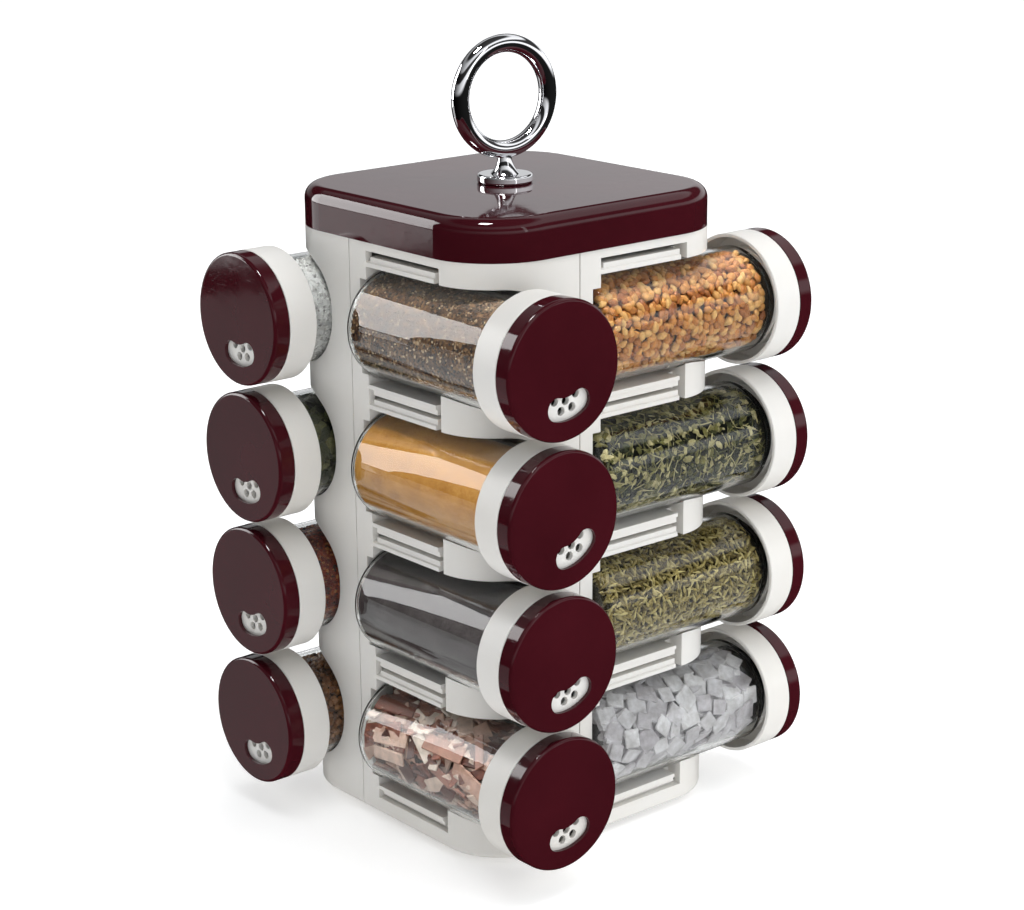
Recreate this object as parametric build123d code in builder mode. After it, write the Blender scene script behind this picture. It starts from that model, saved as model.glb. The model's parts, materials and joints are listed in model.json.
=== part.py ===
"""Revolving spice carousel: a square tower of four cradled faces that spins on a low foot.

Units are millimetres, +Z is up, and the origin lies on the spin axis at table level.
Every face carries four lying jars whose caps reach past the next corner, like a pinwheel.
"""
import os

from build123d import *

# --- tower -----------------------------------------------------------------
TOWER_WIDTH = 127.2
CORNER_RADIUS = 26.0
WALL = 3.0
TOWER_BOTTOM = 3.0
TOWER_TOP = 239.8
BOTTOM_FILLET = 2.5
RIM_INSET = 1.8
RIM_HEIGHT = 4.0
SEAM = -17.5
SEAM_GAP = 0.5
HALF = TOWER_WIDTH / 2

# --- jar layout on one face --------------------------------------------------
PITCH = 56.0
ROWS = 4
TOP_ROW_HEIGHT = 206.3
MIDDLE_HEIGHT = TOP_ROW_HEIGHT - 1.5 * PITCH
AXIS_INSET = 12.0
AXIS_Y = -(HALF - AXIS_INSET)
JAR_START = -10.2

# --- recess, cradles and end block ------------------------------------------
RECESS_START = -7.0
BLOCK_START = 37.6
RECESS_BOTTOM = 10.3
RECESS_TOP = 236.3
CRADLE_RADIUS = 23.2
CRADLE_WALL = 3.9
CRADLE_SHIFT_OUT = 1.0
CRADLE_SHIFT_UP = 0.6
CRADLE_END = -11.0
CRADLE_BACK_WALL = 2.6
POCKET_RADIUS = 22.2
LIP_START = -5.0
LIP_END = 34.5
LIP_SETBACK = 0.8
LIP_EDGE = 1.1
LIP_GAP_DEPTH = 7.0
BULKHEAD = 2.4
SADDLE_RADIUS = 21.8
SADDLE_LIFT = 2.0
SADDLE_LIP_FILLET = 3.0
OUTSIDE = 12.0
CUT_MARGIN = 1.0
FACE_TOLERANCE = 0.01
LIP_TOLERANCE = 0.5

# --- jar, sifter cap and dial cap -------------------------------------------
GLASS_RADIUS = 21.5
GLASS_WALL = 1.6
GLASS_BASE_FILLET = 4.5
INNER_SHOULDER_DROP = 1.0
GLASS_SHOULDER = 85.8
GLASS_TOP = 94.7
NECK_RADIUS = 18.4
CAP_RADIUS = 26.4
CAP_REAR = 84.2
CAP_FRONT = 96.7
SKIRT_WALL = 1.4
CAP_PLATE = 1.8
SLEEVE_INNER = 18.7
SLEEVE_OUTER = 20.2
SLEEVE_REAR = 89.8
DRUM_RADIUS = 23.6
DRUM_WALL = 1.5
DRUM_TOP = 102.1
DRUM_BORE = 17.0
RUNNING_GAP = 0.3
DIAL_RADIUS = 26.3
DIAL_FRONT = 103.9
DIAL_PLATE = 1.5
DIAL_WALL = 1.7
DIAL_EDGE = 1.3
DIAL_PIN_RADIUS = 3.0
DIAL_PIN_LENGTH = 3.0
DIAL_PIN_FIT = 0.06
WINDOW_RADIUS = 14.2
WINDOW_WIDTH = 8.8
WINDOW_HALF_ANGLE = 23.5
HOLE_RADIUS = 1.7
# Rings of sieve holes: radius of the ring, then the holes' angles from straight down.
HOLE_RINGS = (
    (15.1, (-10, 10)),
    (11.6, (-26, 0, 26)),
)
DOWN_ANGLE = 90.0

# --- top cover and handle ----------------------------------------------------
COVER_WIDTH = 128.8
COVER_CORNER = 29.0
COVER_TOP = 255.8
COVER_FILLET = 5.5
COVER_WALL = 2.2
COVER_PLATE = 2.6
RIM_CLEARANCE = 0.15
HANDLE_TURN = -5.7
RING_CENTRE_HEIGHT = 289.2
RING_RADIUS = 20.5
RING_WIRE_RADIUS = 3.5
COLLAR_RADIUS = 11.0
COLLAR_THICKNESS = 3.5
COLLAR_EDGE = 1.0
CONE_BASE_RADIUS = 5.7
CONE_WAIST_RADIUS = 3.6
CONE_TOP_RADIUS = 2.6
STUD_RADIUS = 3.0
STUD_LENGTH = 9.5
STUD_HOLE_CLEARANCE = 0.15
NUT_ACROSS_FLATS_RADIUS = 6.0
NUT_THICKNESS = 4.0
NUT_WASHER_RADIUS = 8.5
NUT_WASHER_THICKNESS = 1.2

# --- turntable foot ----------------------------------------------------------
FOOT_PAD_RADIUS = 7.0
FOOT_PAD_THICKNESS = 1.5
FOOT_PAD_RING = 41.0
FOOT_PAD_COUNT = 4
BASE_RADIUS = 53.0
BASE_THICKNESS = 3.5
BASE_EDGE = 1.0
BASE_TOP = FOOT_PAD_THICKNESS + BASE_THICKNESS
BALL_RADIUS = 2.5
BALL_CENTRE_HEIGHT = 6.6
BALL_RING = 34.0
BALL_COUNT = 16
RACE_RADIUS = 2.6
CAGE_WIDTH = 3.4
CAGE_THICKNESS = 1.2
FLOOR_BOTTOM = 8.3
FLOOR_TOP = 11.3
FLOOR_CLEARANCE = 0.1
PIVOT_RADIUS = 6.0
PIVOT_FIT = 0.08
PIVOT_TOP = 11.6
SCREW_HEAD_RADIUS = 10.0
SCREW_HEAD_THICKNESS = 2.0
SCREW_SHANK_RADIUS = 2.5
SCREW_LENGTH = 8.0
SCREW_SLOT_WIDTH = 1.4
SCREW_SLOT_DEPTH = 0.8

FACES = ("front", "right", "back", "left")
QUARTER_TURN = 90.0
# How far each jar has been rolled in its cradle, top row first, in degrees.
JAR_ROLLS = {
    "front": (9, 24, 14, 10),
    "right": (6, 12, -5, 9),
    "back": (11, 3, 17, 8),
    "left": (5, 8, 11, 13),
}


def export(part, name):
    """Write one finished piece under its own name."""
    part.label = name
    export_step(part, f"parts/{name}.step")


def row_heights():
    """Axis heights of the four rows, top row first."""
    return [TOP_ROW_HEIGHT - row * PITCH for row in range(ROWS)]


def is_lower_lip(height):
    """True where a saddle's round floor meets the face, below one of the jar axes."""
    drop = (SADDLE_RADIUS**2 - AXIS_INSET**2) ** 0.5
    return any(abs(axis_height - drop - height) < LIP_TOLERANCE for axis_height in row_heights())


def build_side_panel():
    """One of four identical corner panels: strip, cradles, end block and the next corner."""
    rows = [(AXIS_Y, height) for height in row_heights()]
    cradle_rows = [(y - CRADLE_SHIFT_OUT, z + CRADLE_SHIFT_UP) for y, z in rows]
    reach_out = HALF - LIP_SETBACK + AXIS_Y - CRADLE_SHIFT_OUT
    body_height = TOWER_TOP - TOWER_BOTTOM
    inner_width = TOWER_WIDTH - 2 * WALL
    recess_height = RECESS_TOP - RECESS_BOTTOM
    recess_middle = (RECESS_TOP + RECESS_BOTTOM) / 2
    opening_length = BLOCK_START - RECESS_START

    with BuildPart() as shell:
        with BuildSketch(Plane.XY.offset(TOWER_BOTTOM)):
            RectangleRounded(TOWER_WIDTH, TOWER_WIDTH, CORNER_RADIUS)
        extrude(amount=body_height)
        fillet(shell.faces().sort_by(Axis.Z)[0].edges(), radius=BOTTOM_FILLET)
        rim_width = TOWER_WIDTH - 2 * RIM_INSET
        with BuildSketch(Plane.XY.offset(TOWER_TOP)):
            RectangleRounded(rim_width, rim_width, CORNER_RADIUS - RIM_INSET)
        extrude(amount=RIM_HEIGHT)

    with BuildPart() as panel:
        add(shell.part)
        with BuildSketch(Plane.XY.offset(TOWER_BOTTOM)):
            RectangleRounded(inner_width, inner_width, CORNER_RADIUS - WALL)
        extrude(amount=body_height + RIM_HEIGHT, mode=Mode.SUBTRACT)

        # The window in the face wall that frames the cradles.
        with Locations(((RECESS_START + BLOCK_START) / 2, -HALF, recess_middle)):
            Box(opening_length, 2 * (WALL + CUT_MARGIN), recess_height, mode=Mode.SUBTRACT)

        # Cradle shells with straight lips that reach forward to the face.
        with BuildSketch(Plane.YZ.offset(CRADLE_END - CRADLE_BACK_WALL)):
            with Locations(*cradle_rows):
                Circle(CRADLE_RADIUS + CRADLE_WALL)
        extrude(amount=HALF - CRADLE_END + CRADLE_BACK_WALL)
        with BuildSketch(Plane.YZ.offset(LIP_START)) as lip_profile:
            with Locations(*[(y - reach_out / 2, z) for y, z in cradle_rows]):
                Rectangle(reach_out, 2 * (CRADLE_RADIUS + CRADLE_WALL))
            fillet(lip_profile.vertices().group_by(Axis.Y)[0], radius=LIP_EDGE)
        extrude(amount=LIP_END - LIP_START)

        # A bulkhead closes the end block and leaves a shadow gap beside the lips.
        block_depth = HALF + AXIS_Y + CRADLE_RADIUS + CRADLE_WALL
        bulkhead_height = TOWER_TOP - FLOOR_TOP - FLOOR_CLEARANCE
        bulkhead_middle = TOWER_TOP - bulkhead_height / 2
        with Locations((BLOCK_START + BULKHEAD / 2, -HALF + block_depth / 2, bulkhead_middle)):
            Box(BULKHEAD, block_depth, bulkhead_height)
        gap_length = BLOCK_START - LIP_END
        with Locations((LIP_END + gap_length / 2, -HALF, recess_middle)):
            Box(gap_length, 2 * LIP_GAP_DEPTH, recess_height, mode=Mode.SUBTRACT)

        # The round cradle floor behind every jar, open towards the face.
        with BuildSketch(Plane.YZ.offset(RECESS_START)):
            with Locations(*cradle_rows):
                Circle(CRADLE_RADIUS)
            with Locations(*[(y - OUTSIDE, z) for y, z in cradle_rows]):
                Rectangle(2 * OUTSIDE, 2 * CRADLE_RADIUS)
        extrude(amount=opening_length, mode=Mode.SUBTRACT)
        with BuildSketch(Plane.YZ.offset(CRADLE_END)):
            with Locations(*rows):
                Circle(POCKET_RADIUS)
        extrude(amount=RECESS_START - CRADLE_END, mode=Mode.SUBTRACT)

        # The saddles that carry the jars out past the corner; a jar lifts over the front lip.
        with BuildSketch(Plane.YZ.offset(BLOCK_START)) as saddle:
            with Locations(*rows):
                Circle(SADDLE_RADIUS)
            with Locations(*[(y, z + SADDLE_LIFT) for y, z in rows]):
                Circle(SADDLE_RADIUS)
            with Locations(*[(y - OUTSIDE, z + (SADDLE_RADIUS + SADDLE_LIFT) / 2) for y, z in rows]):
                Rectangle(2 * OUTSIDE, SADDLE_RADIUS + SADDLE_LIFT)
            with Locations((-HALF - OUTSIDE / 2, MIDDLE_HEIGHT)):
                Rectangle(OUTSIDE, TOWER_TOP)
            face_band = (-HALF - FACE_TOLERANCE, -HALF + FACE_TOLERANCE)
            on_face = saddle.vertices().filter_by_position(Axis.Y, *face_band)
            lower_lips = [v for v in on_face if is_lower_lip(v.Z)]
            fillet(lower_lips, radius=SADDLE_LIP_FILLET)
        extrude(amount=HALF - BLOCK_START + OUTSIDE, mode=Mode.SUBTRACT)

        # Keep this panel's quarter of the outline.
        add(shell.part, mode=Mode.INTERSECT)
        quarter = HALF - SEAM
        quarter_x = SEAM + SEAM_GAP / 2 + quarter / 2
        quarter_y = SEAM - SEAM_GAP / 2 - quarter / 2
        with Locations((quarter_x, quarter_y, MIDDLE_HEIGHT)):
            Box(quarter, quarter, 2 * TOWER_TOP, mode=Mode.INTERSECT)
    return panel.part


def revolved(points):
    """Solid of revolution about Z from a closed half section of (radius, height) points."""
    with BuildPart() as turned:
        with BuildSketch(Plane.XZ):
            with BuildLine():
                Polyline(*points, close=True)
            make_face()
        revolve(axis=Axis.Z)
    return turned.part


def build_jar():
    """Clear jar with a rounded closed end at height zero and a narrower open neck."""
    shoulder_top = GLASS_SHOULDER + GLASS_RADIUS - NECK_RADIUS
    inner_radius = GLASS_RADIUS - GLASS_WALL
    inner_neck = NECK_RADIUS - GLASS_WALL
    inner_shoulder = GLASS_SHOULDER - INNER_SHOULDER_DROP
    inner_shoulder_top = shoulder_top - INNER_SHOULDER_DROP
    open_end = GLASS_TOP + CUT_MARGIN
    outer = [(0, 0), (GLASS_RADIUS, 0), (GLASS_RADIUS, GLASS_SHOULDER), (NECK_RADIUS, shoulder_top),
             (NECK_RADIUS, GLASS_TOP), (0, GLASS_TOP)]
    inner = [(0, GLASS_WALL), (inner_radius, GLASS_WALL), (inner_radius, inner_shoulder),
             (inner_neck, inner_shoulder_top), (inner_neck, open_end), (0, open_end)]
    with BuildPart() as hollow:
        add(revolved(inner))
        base_edge = hollow.edges().filter_by(GeomType.CIRCLE).sort_by(Axis.Z)[0]
        fillet(base_edge, radius=GLASS_BASE_FILLET - GLASS_WALL)
    with BuildPart() as jar:
        add(revolved(outer))
        fillet(jar.edges().filter_by(GeomType.CIRCLE).sort_by(Axis.Z)[0], radius=GLASS_BASE_FILLET)
        add(hollow.part, mode=Mode.SUBTRACT)
    return jar.part


def window_slot(centre_angle):
    """Draw the kidney-shaped window outline into the sketch being built."""
    start = centre_angle - WINDOW_HALF_ANGLE
    centre_line = CenterArc((0, 0), WINDOW_RADIUS, start, 2 * WINDOW_HALF_ANGLE, mode=Mode.PRIVATE)
    SlotArc(centre_line, WINDOW_WIDTH)


def build_sifter_cap():
    """White cap: a skirt round the neck and a raised drum pierced with the sifting holes."""
    skirt_inner = CAP_RADIUS - SKIRT_WALL
    plate_rear = CAP_FRONT - CAP_PLATE
    drum_inner = DRUM_RADIUS - DRUM_WALL
    section = [(skirt_inner, CAP_REAR), (CAP_RADIUS, CAP_REAR), (CAP_RADIUS, CAP_FRONT),
               (DRUM_RADIUS, CAP_FRONT), (DRUM_RADIUS, DRUM_TOP), (0, DRUM_TOP),
               (0, DRUM_TOP - CAP_PLATE), (drum_inner, DRUM_TOP - CAP_PLATE), (drum_inner, CAP_FRONT),
               (DRUM_BORE, CAP_FRONT), (DRUM_BORE, plate_rear), (SLEEVE_INNER, plate_rear),
               (SLEEVE_INNER, SLEEVE_REAR), (SLEEVE_OUTER, SLEEVE_REAR), (SLEEVE_OUTER, plate_rear),
               (skirt_inner, plate_rear)]
    with BuildPart() as cap:
        add(revolved(section))
        rims = cap.edges().filter_by(GeomType.CIRCLE).sort_by(SortBy.RADIUS)[-2:]
        fillet(rims, radius=SKIRT_WALL / 3)
        with BuildSketch(Plane.XY.offset(DRUM_TOP)):
            for ring, angles in HOLE_RINGS:
                for angle in angles:
                    with PolarLocations(ring, 1, start_angle=DOWN_ANGLE + angle):
                        Circle(HOLE_RADIUS)
            window_slot(DOWN_ANGLE + 2 * QUARTER_TURN)
            Circle(DIAL_PIN_RADIUS + DIAL_PIN_FIT)
        extrude(amount=-2 * CAP_PLATE, mode=Mode.SUBTRACT)
    return cap.part


def build_dial_cap():
    """Turning outer cap: a shallow cup with one window and a centre pin."""
    rear = CAP_FRONT + RUNNING_GAP
    plate_rear = DRUM_TOP + RUNNING_GAP
    inner_radius = DIAL_RADIUS - DIAL_WALL
    section = [(inner_radius, rear), (DIAL_RADIUS, rear), (DIAL_RADIUS, DIAL_FRONT), (0, DIAL_FRONT),
               (0, plate_rear - DIAL_PIN_LENGTH), (DIAL_PIN_RADIUS, plate_rear - DIAL_PIN_LENGTH),
               (DIAL_PIN_RADIUS, plate_rear), (inner_radius, plate_rear)]
    with BuildPart() as dial:
        add(revolved(section))
        front_edge = dial.edges().filter_by(GeomType.CIRCLE).group_by(Axis.Z)[-1].sort_by(SortBy.RADIUS)[-1]
        fillet(front_edge, radius=DIAL_EDGE)
        with BuildSketch(Plane.XY.offset(DIAL_FRONT)):
            window_slot(DOWN_ANGLE)
        extrude(amount=-2 * DIAL_PLATE, mode=Mode.SUBTRACT)
    return dial.part


def build_top_cover():
    """Square cup with a softly rounded top edge that sits over the tower's rim."""
    inner_width = TOWER_WIDTH - 2 * RIM_INSET + 2 * RIM_CLEARANCE
    inner_corner = CORNER_RADIUS - RIM_INSET + RIM_CLEARANCE
    with BuildPart() as cover:
        with BuildSketch(Plane.XY.offset(TOWER_TOP)):
            RectangleRounded(COVER_WIDTH, COVER_WIDTH, COVER_CORNER)
        extrude(amount=COVER_TOP - TOWER_TOP)
        fillet(cover.faces().sort_by(Axis.Z)[-1].edges(), radius=COVER_FILLET)
        with BuildSketch(Plane.XY.offset(TOWER_TOP)):
            RectangleRounded(inner_width, inner_width, inner_corner)
        extrude(amount=COVER_TOP - COVER_PLATE - TOWER_TOP, mode=Mode.SUBTRACT)
        with Locations((0, 0, COVER_TOP)):
            Hole(STUD_RADIUS + STUD_HOLE_CLEARANCE, depth=2 * COVER_PLATE)
    return cover.part


def build_handle():
    """Ring on a waisted cone and a flat collar, with the stud that holds it to the cover."""
    collar_top = COVER_TOP + COLLAR_THICKNESS
    wire_bottom = RING_CENTRE_HEIGHT - RING_RADIUS - RING_WIRE_RADIUS
    cone_top = wire_bottom + RING_WIRE_RADIUS / 2
    waist_height = (collar_top + wire_bottom) / 2
    with BuildPart() as handle:
        with BuildSketch(Plane.XZ):
            with BuildLine():
                flank = Spline((CONE_BASE_RADIUS, collar_top), (CONE_WAIST_RADIUS, waist_height),
                               (CONE_TOP_RADIUS, cone_top))
                Polyline(flank @ 1, (0, cone_top), (0, collar_top), flank @ 0)
            make_face()
        revolve(axis=Axis.Z)
        with BuildSketch(Plane.XY.offset(COVER_TOP)):
            Circle(COLLAR_RADIUS)
        extrude(amount=COLLAR_THICKNESS)
        rims = handle.edges().filter_by(GeomType.CIRCLE).sort_by(SortBy.RADIUS)[-2:]
        fillet(rims, radius=COLLAR_EDGE)
        with BuildSketch(Plane.XY.offset(COVER_TOP + COLLAR_EDGE)):
            Circle(STUD_RADIUS)
        extrude(amount=-STUD_LENGTH - COLLAR_EDGE)
        ring_plane = Plane(origin=(0, 0, RING_CENTRE_HEIGHT), x_dir=(0, 1, 0), z_dir=(1, 0, 0))
        with Locations(ring_plane):
            Torus(RING_RADIUS, RING_WIRE_RADIUS)
    return handle.part.rotate(Axis.Z, HANDLE_TURN)


def build_handle_nut():
    """Flanged nut that clamps the handle's stud under the cover."""
    plate_bottom = COVER_TOP - COVER_PLATE
    with BuildPart() as nut:
        with BuildSketch(Plane.XY.offset(plate_bottom)):
            Circle(NUT_WASHER_RADIUS)
        extrude(amount=-NUT_WASHER_THICKNESS)
        with BuildSketch(Plane.XY.offset(plate_bottom - NUT_WASHER_THICKNESS)):
            RegularPolygon(NUT_ACROSS_FLATS_RADIUS, 6)
        extrude(amount=-NUT_THICKNESS)
        with BuildSketch(Plane.XY.offset(plate_bottom)):
            Circle(STUD_RADIUS)
        extrude(amount=-NUT_WASHER_THICKNESS - NUT_THICKNESS, mode=Mode.SUBTRACT)
    return nut.part


def build_floor_plate():
    """Plate that closes the tower's bottom and runs on the ball race."""
    width = TOWER_WIDTH - 2 * WALL - 2 * FLOOR_CLEARANCE
    with BuildPart() as floor:
        with BuildSketch(Plane.XY.offset(FLOOR_BOTTOM)):
            RectangleRounded(width, width, CORNER_RADIUS - WALL - FLOOR_CLEARANCE)
            Circle(PIVOT_RADIUS + PIVOT_FIT, mode=Mode.SUBTRACT)
        extrude(amount=FLOOR_TOP - FLOOR_BOTTOM)
        with Locations((0, 0, BALL_CENTRE_HEIGHT)):
            Torus(BALL_RING, RACE_RADIUS, mode=Mode.SUBTRACT)
    return floor.part


def build_base_plate():
    """Round foot with the lower ball groove and the hollow pivot post."""
    with BuildPart() as base:
        with BuildSketch(Plane.XY.offset(FOOT_PAD_THICKNESS)):
            Circle(BASE_RADIUS)
        extrude(amount=BASE_THICKNESS)
        fillet(base.faces().sort_by(Axis.Z)[-1].edges(), radius=BASE_EDGE)
        with Locations((0, 0, BALL_CENTRE_HEIGHT)):
            Torus(BALL_RING, RACE_RADIUS, mode=Mode.SUBTRACT)
        with BuildSketch(Plane.XY.offset(FOOT_PAD_THICKNESS)):
            Circle(PIVOT_RADIUS)
        extrude(amount=PIVOT_TOP - FOOT_PAD_THICKNESS)
        with Locations((0, 0, PIVOT_TOP)):
            Hole(SCREW_SHANK_RADIUS, depth=SCREW_LENGTH)
    return base.part


def build_ball_bearing():
    """Ring of balls held in a thin flat cage."""
    cage_bottom = BALL_CENTRE_HEIGHT - CAGE_THICKNESS / 2
    with BuildPart() as bearing:
        with BuildSketch(Plane.XY.offset(cage_bottom)):
            Circle(BALL_RING + CAGE_WIDTH / 2)
            Circle(BALL_RING - CAGE_WIDTH / 2, mode=Mode.SUBTRACT)
        extrude(amount=CAGE_THICKNESS)
        with Locations((0, 0, BALL_CENTRE_HEIGHT)):
            with PolarLocations(BALL_RING, BALL_COUNT):
                Sphere(BALL_RADIUS)
    return bearing.part


def build_pivot_screw():
    """Broad-headed slotted screw that keeps the tower on its post."""
    with BuildPart() as screw:
        with BuildSketch(Plane.XY.offset(PIVOT_TOP)):
            Circle(SCREW_HEAD_RADIUS)
        extrude(amount=SCREW_HEAD_THICKNESS)
        fillet(screw.faces().sort_by(Axis.Z)[-1].edges(), radius=SCREW_HEAD_THICKNESS / 4)
        with BuildSketch(Plane.XY.offset(PIVOT_TOP)):
            Circle(SCREW_SHANK_RADIUS)
        extrude(amount=-SCREW_LENGTH)
        head_top = PIVOT_TOP + SCREW_HEAD_THICKNESS
        with Locations((0, 0, head_top)):
            Box(SCREW_HEAD_RADIUS, SCREW_SLOT_WIDTH, 2 * SCREW_SLOT_DEPTH, mode=Mode.SUBTRACT)
    return screw.part


def build_rubber_feet():
    """Four soft pads under the base plate."""
    with BuildPart() as feet:
        with PolarLocations(FOOT_PAD_RING, FOOT_PAD_COUNT, start_angle=QUARTER_TURN / 2):
            Cylinder(FOOT_PAD_RADIUS, FOOT_PAD_THICKNESS, align=(Align.CENTER, Align.CENTER, Align.MIN))
        fillet(feet.faces().group_by(Axis.Z)[0].edges(), radius=FOOT_PAD_THICKNESS / 4)
    return feet.part


def jar_placement(face_index, row, roll):
    """Where a jar's own frame (closed end at zero, cap along +Z) sits on the tower."""
    height = row_heights()[row]
    lying = Plane(origin=(JAR_START, AXIS_Y, height), x_dir=(0, -1, 0), z_dir=(1, 0, 0))
    face_turn = Location((0, 0, 0), (0, 0, QUARTER_TURN * face_index))
    rolled = Location((0, 0, 0), (0, 0, roll))
    return face_turn * lying.location * rolled


def export_jars():
    """Write the jar body, sifter cap and dial cap of all sixteen jars in place."""
    masters = {"jar": build_jar(), "sifter": build_sifter_cap(), "dial": build_dial_cap()}
    for face_index, face in enumerate(FACES):
        for row, roll in enumerate(JAR_ROLLS[face]):
            placement = jar_placement(face_index, row, roll)
            for kind, master in masters.items():
                export(master.moved(placement), f"{kind}_{face}_{row + 1}")


def export_panels():
    """Write the four side panels, each a quarter turn on from the last."""
    master = build_side_panel()
    for face_index, face in enumerate(FACES):
        export(master.moved(Location((0, 0, 0), (0, 0, QUARTER_TURN * face_index))), f"side_panel_{face}")


def main():
    """Build every piece and write it to the parts folder."""
    os.makedirs("parts", exist_ok=True)
    export_panels()
    export_jars()
    export(build_top_cover(), "top_cover")
    export(build_handle(), "handle")
    export(build_handle_nut(), "handle_nut")
    export(build_floor_plate(), "floor_plate")
    export(build_base_plate(), "base_plate")
    export(build_ball_bearing(), "ball_bearing")
    export(build_pivot_screw(), "pivot_screw")
    export(build_rubber_feet(), "rubber_feet")


if __name__ == "__main__":
    main()
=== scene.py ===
"""Looks of the revolving spice carousel: finishes, jar contents, floor, lights and camera."""
import json
import math

import bmesh
import bpy
import numpy as np
from mathutils import Matrix, Vector


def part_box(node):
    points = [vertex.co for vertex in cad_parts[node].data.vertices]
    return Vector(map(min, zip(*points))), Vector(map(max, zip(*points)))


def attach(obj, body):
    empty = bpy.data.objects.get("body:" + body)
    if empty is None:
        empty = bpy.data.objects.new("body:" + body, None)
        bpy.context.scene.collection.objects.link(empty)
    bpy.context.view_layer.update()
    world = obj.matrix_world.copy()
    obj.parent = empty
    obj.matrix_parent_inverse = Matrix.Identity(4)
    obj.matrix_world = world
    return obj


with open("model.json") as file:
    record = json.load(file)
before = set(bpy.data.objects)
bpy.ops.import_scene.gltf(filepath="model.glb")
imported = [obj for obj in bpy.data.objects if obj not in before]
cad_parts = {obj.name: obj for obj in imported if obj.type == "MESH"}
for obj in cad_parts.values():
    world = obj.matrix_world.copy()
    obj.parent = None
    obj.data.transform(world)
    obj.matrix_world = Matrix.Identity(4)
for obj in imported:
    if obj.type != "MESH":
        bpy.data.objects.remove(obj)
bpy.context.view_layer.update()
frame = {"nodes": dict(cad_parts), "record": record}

bl_info = {
    "name": "Spice Carousel Looks",
    "version": (1, 0, 0),
    "blender": (4, 5, 0),
    "location": "View3D > Sidebar > Carousel",
    "description": "Finishes, spices and studio for a revolving spice carousel",
    "category": "Object",
}

MM = 0.001
FACES = ("front", "right", "back", "left")
# Mesh attribute that holds the random tone of each grain.
TONE = "tone"

# Inside of a jar, in its own frame: closed end at zero, axis along +Z, +X out of the tower.
# All sixteen jars are alike, so the top front one gives the sizes.
JAR_LOW, JAR_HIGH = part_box("jar_front_1")
SIFTER_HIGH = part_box("sifter_front_1")[1]
GLASS_WALL = 1.6 * MM
NECK_LENGTH = 9.9 * MM
NECK_RADIUS = 16.3 * MM
PIN_ROOM = 3.4 * MM
INNER_BASE_FILLET = 2.9 * MM
FILL_GAP = 0.12 * MM
FILL_START = GLASS_WALL + FILL_GAP
FILL_END = JAR_HIGH.x - JAR_LOW.x - NECK_LENGTH
PLUG_START = FILL_END - 2 * MM
PLUG_END = SIFTER_HIGH.x - JAR_LOW.x - PIN_ROOM
NEARLY_ZERO = 1e-9
FILL_RADIUS = (JAR_HIGH.z - JAR_LOW.z) / 2 - GLASS_WALL - FILL_GAP


# --- properties ------------------------------------------------------------


class CAROUSEL_PG_finishes(bpy.types.PropertyGroup):
    """Colours and gloss of the plastics and metals."""

    white: bpy.props.FloatVectorProperty(
        name="White plastic", description="Colour of the tower and the sifter caps",
        subtype="COLOR", default=(0.78, 0.765, 0.735), min=0, max=1)
    maroon: bpy.props.FloatVectorProperty(
        name="Maroon plastic", description="Colour of the top cover and the dial caps",
        subtype="COLOR", default=(0.052, 0.0055, 0.0095), min=0, max=1)
    glass: bpy.props.FloatVectorProperty(
        name="Jar tint", description="Tint of the clear jars",
        subtype="COLOR", default=(0.97, 0.985, 0.98), min=0, max=1)
    chrome: bpy.props.FloatVectorProperty(
        name="Chrome", description="Colour of the plated handle",
        subtype="COLOR", default=(0.78, 0.78, 0.8), min=0, max=1)
    gloss: bpy.props.FloatProperty(
        name="Maroon roughness", description="Roughness of the polished maroon mouldings",
        subtype="FACTOR", default=0.05, min=0, max=1)


class CAROUSEL_PG_stage(bpy.types.PropertyGroup):
    """Floor and camera."""

    floor_size: bpy.props.FloatProperty(
        name="Floor size", description="Edge length of the plain floor",
        subtype="DISTANCE", unit="LENGTH", default=16.0, min=1)
    camera_place: bpy.props.FloatVectorProperty(
        name="Camera place", description="Where the camera stands",
        subtype="TRANSLATION", unit="LENGTH", default=(0.71995, -0.60399, 0.42266))
    camera_azimuth: bpy.props.FloatProperty(
        name="Camera azimuth", description="Turn of the camera round the tower, from the front face",
        subtype="ANGLE", unit="ROTATION", default=math.radians(50.01))
    camera_dip: bpy.props.FloatProperty(
        name="Camera dip", description="How far the camera looks down",
        subtype="ANGLE", unit="ROTATION", default=math.radians(16.88))
    camera_roll: bpy.props.FloatProperty(
        name="Camera roll", description="Turn about the camera's own line of sight",
        subtype="ANGLE", unit="ROTATION", default=math.radians(-0.49))
    shift_x: bpy.props.FloatProperty(
        name="Shift across", description="Sideways lens shift, as a share of the sensor", default=0.0046)
    shift_y: bpy.props.FloatProperty(
        name="Shift up", description="Upward lens shift, as a share of the sensor", default=0.0159)
    lens: bpy.props.FloatProperty(
        name="Lens", description="Focal length on a 36 mm wide sensor, in millimetres",
        default=85.2, min=10)


def finishes():
    """The finish settings of this scene."""
    return bpy.context.scene.carousel_finishes


# --- node helpers ----------------------------------------------------------


def new_material(name):
    """An empty node material with its Principled shader."""
    material = bpy.data.materials.new(name)
    material.use_nodes = True
    shader = material.node_tree.nodes["Principled BSDF"]
    return material, material.node_tree, shader


def add_node(tree, kind, **values):
    """Add a node and set plain attributes on it."""
    node = tree.nodes.new(kind)
    for key, value in values.items():
        setattr(node, key, value)
    return node


def object_coordinates(tree):
    """Object coordinates of the piece itself."""
    return add_node(tree, "ShaderNodeTexCoord").outputs["Object"]


def noise(tree, vector, scale, detail=4.0, roughness=0.5):
    """Noise factor at a scale in cells per metre."""
    node = add_node(tree, "ShaderNodeTexNoise")
    tree.links.new(vector, node.inputs["Vector"])
    node.inputs["Scale"].default_value = scale
    node.inputs["Detail"].default_value = detail
    node.inputs["Roughness"].default_value = roughness
    return node.outputs["Fac"]


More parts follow.
